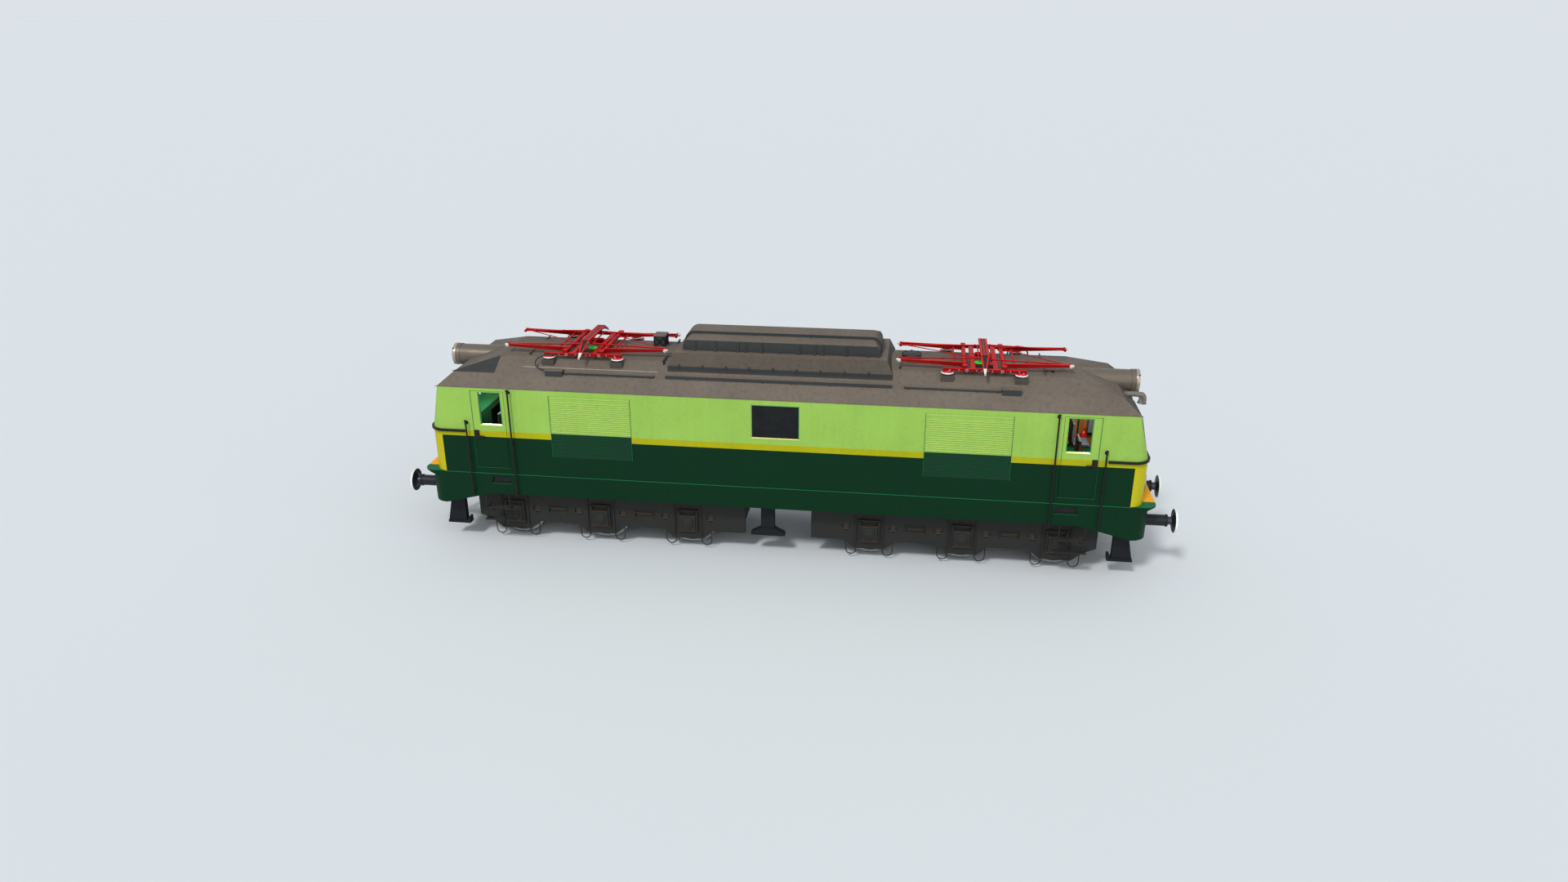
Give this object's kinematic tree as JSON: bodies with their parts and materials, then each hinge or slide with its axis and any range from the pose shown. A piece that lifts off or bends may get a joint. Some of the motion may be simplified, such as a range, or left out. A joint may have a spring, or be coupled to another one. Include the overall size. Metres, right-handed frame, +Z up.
{
  "type": "electric locomotive",
  "caption": "Six-axle two-cab electric locomotive with turning wheelsets, steering bogies, swinging cab doors and folding roof pantographs.",
  "frame": {"origin": "on the centre line midway between the ends, at the lowest point of the wheel flanges, 28 mm below the rail head", "axes": "+X along the locomotive, +Z up"},
  "size_m": [16.82, 3.1458, 4.8278],
  "materials": {
    "dark_green_paint": "semi-gloss dark green paint",
    "light_green_paint": "semi-gloss light green paint over dark green, with a yellow belt",
    "door_paint": "semi-gloss paint that carries on the side bands",
    "roof_paint": "matt grey-brown roof paint",
    "cab_panel": "varnished plywood panel",
    "desk_paint": "satin dark green paint",
    "seat_vinyl": "grey vinyl",
    "machine_paint": "plain grey paint",
    "window_glass": "dark glass",
    "lamp_metal": "satin grey metal with a bright rim",
    "black_steel": "satin black paint",
    "buffer_steel": "dark steel with a white painted rim",
    "insulator_ceramic": "white and red glazed ceramic",
    "pantograph_red": "gloss red paint",
    "bogie_black": "black paint with brown dust",
    "motor_iron": "dark dusty iron",
    "wheel_steel": "dark steel with a bright tread"
  },
  "bodies": {
    "locomotive_body": {"underframe": "dark_green_paint", "end_aprons": "dark_green_paint", "side_walls": "light_green_paint", "cab_fronts": "light_green_paint", "roof": "roof_paint", "cab_bulkheads": "cab_panel", "driver_desks": "desk_paint", "cab_seats": "seat_vinyl", "equipment_block": "machine_paint", "window_glass": "window_glass", "louvre_panels": "light_green_paint", "roof_hood": "roof_paint", "top_headlights": "lamp_metal", "lower_lamps": "lamp_metal", "horns": "lamp_metal", "handrails": "black_steel", "nose_rails": "black_steel", "buffers": "buffer_steel", "draw_gear": "black_steel", "insulators": "insulator_ceramic", "roof_gear": "roof_paint", "track_supports": "black_steel", "rail_guards": "black_steel", "door_steps": "black_steel", "pantograph_bases": "pantograph_red"},
    "door_near_left": {"door_near_left": "door_paint"},
    "door_near_right": {"door_near_right": "door_paint"},
    "door_far_left": {"door_far_left": "door_paint"},
    "door_far_right": {"door_far_right": "door_paint"},
    "bogie_left": {"bogie_frame_left": "bogie_black", "axleboxes_left": "bogie_black", "traction_motors_left": "motor_iron", "brake_gear_left": "bogie_black"},
    "bogie_right": {"bogie_frame_right": "bogie_black", "axleboxes_right": "bogie_black", "traction_motors_right": "motor_iron", "brake_gear_right": "bogie_black"},
    "wheelset_1": {"wheelset_1": "wheel_steel"},
    "wheelset_2": {"wheelset_2": "wheel_steel"},
    "wheelset_3": {"wheelset_3": "wheel_steel"},
    "wheelset_4": {"wheelset_4": "wheel_steel"},
    "wheelset_5": {"wheelset_5": "wheel_steel"},
    "wheelset_6": {"wheelset_6": "wheel_steel"},
    "lower_arm_left_inner": {"lower_arm_left_inner": "pantograph_red"},
    "lower_arm_left_outer": {"lower_arm_left_outer": "pantograph_red"},
    "upper_arm_left_inner": {"upper_arm_left_inner": "pantograph_red"},
    "upper_arm_left_outer": {"upper_arm_left_outer": "pantograph_red"},
    "pantograph_head_left": {"pantograph_head_left": "pantograph_red"},
    "lower_arm_right_inner": {"lower_arm_right_inner": "pantograph_red"},
    "lower_arm_right_outer": {"lower_arm_right_outer": "pantograph_red"},
    "upper_arm_right_inner": {"upper_arm_right_inner": "pantograph_red"},
    "upper_arm_right_outer": {"upper_arm_right_outer": "pantograph_red"},
    "pantograph_head_right": {"pantograph_head_right": "pantograph_red"}
  },
  "joints": [
    {"name": "bogie_left_steer", "type": "hinge", "parent": "locomotive_body", "child": "bogie_left", "pos_m": [-4, 0, 1.148], "axis": [0, 0, 1], "range_deg": [-2.5, 2.5]},
    {"name": "bogie_right_steer", "type": "hinge", "parent": "locomotive_body", "child": "bogie_right", "pos_m": [4, 0, 1.148], "axis": [0, 0, 1], "range_deg": [-2.5, 2.5]},
    {"name": "wheelset_1_turn", "type": "hinge", "parent": "bogie_left", "child": "wheelset_1", "pos_m": [-5.99, 0, 0.653], "axis": [0, 1, 0], "continuous": true},
    {"name": "wheelset_2_turn", "type": "hinge", "parent": "bogie_left", "child": "wheelset_2", "pos_m": [-4, 0, 0.653], "axis": [0, 1, 0], "continuous": true},
    {"name": "wheelset_3_turn", "type": "hinge", "parent": "bogie_left", "child": "wheelset_3", "pos_m": [-2.01, 0, 0.653], "axis": [0, 1, 0], "continuous": true},
    {"name": "wheelset_4_turn", "type": "hinge", "parent": "bogie_right", "child": "wheelset_4", "pos_m": [2.01, 0, 0.653], "axis": [0, 1, 0], "continuous": true},
    {"name": "wheelset_5_turn", "type": "hinge", "parent": "bogie_right", "child": "wheelset_5", "pos_m": [4, 0, 0.653], "axis": [0, 1, 0], "continuous": true},
    {"name": "wheelset_6_turn", "type": "hinge", "parent": "bogie_right", "child": "wheelset_6", "pos_m": [5.99, 0, 0.653], "axis": [0, 1, 0], "continuous": true},
    {"name": "door_near_left_swing", "type": "hinge", "parent": "locomotive_body", "child": "door_near_left", "pos_m": [-5.859, -1.406, 2.628], "axis": [0, 0, -1], "range_deg": [0, 90]},
    {"name": "door_near_right_swing", "type": "hinge", "parent": "locomotive_body", "child": "door_near_right", "pos_m": [5.859, -1.406, 2.628], "axis": [0, 0, 1], "range_deg": [0, 90]},
    {"name": "door_far_left_swing", "type": "hinge", "parent": "locomotive_body", "child": "door_far_left", "pos_m": [-5.859, 1.406, 2.628], "axis": [0, 0, 1], "range_deg": [0, 90]},
    {"name": "door_far_right_swing", "type": "hinge", "parent": "locomotive_body", "child": "door_far_right", "pos_m": [5.859, 1.406, 2.628], "axis": [0, 0, -1], "range_deg": [0, 90]},
    {"name": "pantograph_left_raise", "type": "hinge", "parent": "locomotive_body", "child": "lower_arm_left_outer", "pos_m": [-4.64, 0, 4.408], "axis": [0, 1, 0], "range_deg": [0, 50]},
    {"name": "lower_arm_left_inner_raise", "type": "hinge", "parent": "locomotive_body", "child": "lower_arm_left_inner", "pos_m": [-3.84, 0, 4.408], "axis": [0, -1, 0], "range_deg": [0, 50]},
    {"name": "knuckle_left_outer", "type": "hinge", "parent": "lower_arm_left_outer", "child": "upper_arm_left_outer", "pos_m": [-5.98907, 0, 4.458], "axis": [0, -1, 0], "range_deg": [0, 93.65]},
    {"name": "knuckle_left_inner", "type": "hinge", "parent": "lower_arm_left_inner", "child": "upper_arm_left_inner", "pos_m": [-2.49093, 0, 4.458], "axis": [0, 1, 0], "range_deg": [0, 93.65]},
    {"name": "pantograph_head_left_level", "type": "hinge", "parent": "upper_arm_left_outer", "child": "pantograph_head_left", "pos_m": [-4.24, 0, 4.51495], "axis": [0, 1, 0], "range_deg": [0, 43.65]},
    {"name": "pantograph_right_raise", "type": "hinge", "parent": "locomotive_body", "child": "lower_arm_right_outer", "pos_m": [4.64, 0, 4.408], "axis": [0, -1, 0], "range_deg": [0, 50]},
    {"name": "lower_arm_right_inner_raise", "type": "hinge", "parent": "locomotive_body", "child": "lower_arm_right_inner", "pos_m": [3.84, 0, 4.408], "axis": [0, 1, 0], "range_deg": [0, 50]},
    {"name": "knuckle_right_outer", "type": "hinge", "parent": "lower_arm_right_outer", "child": "upper_arm_right_outer", "pos_m": [5.98907, 0, 4.458], "axis": [0, 1, 0], "range_deg": [0, 93.65]},
    {"name": "knuckle_right_inner", "type": "hinge", "parent": "lower_arm_right_inner", "child": "upper_arm_right_inner", "pos_m": [2.49093, 0, 4.458], "axis": [0, -1, 0], "range_deg": [0, 93.65]},
    {"name": "pantograph_head_right_level", "type": "hinge", "parent": "upper_arm_right_outer", "child": "pantograph_head_right", "pos_m": [4.24, 0, 4.51495], "axis": [0, -1, 0], "range_deg": [0, 43.65]}
  ],
  "couplings": [
    {"joint": "lower_arm_left_inner_raise", "follows": "pantograph_left_raise", "ratio": 1},
    {"joint": "knuckle_left_outer", "follows": "pantograph_left_raise", "ratio": 1.873},
    {"joint": "knuckle_left_inner", "follows": "pantograph_left_raise", "ratio": 1.873},
    {"joint": "pantograph_head_left_level", "follows": "pantograph_left_raise", "ratio": 0.873},
    {"joint": "lower_arm_right_inner_raise", "follows": "pantograph_right_raise", "ratio": 1},
    {"joint": "knuckle_right_outer", "follows": "pantograph_right_raise", "ratio": 1.873},
    {"joint": "knuckle_right_inner", "follows": "pantograph_right_raise", "ratio": 1.873},
    {"joint": "pantograph_head_right_level", "follows": "pantograph_right_raise", "ratio": 0.873}
  ]
}
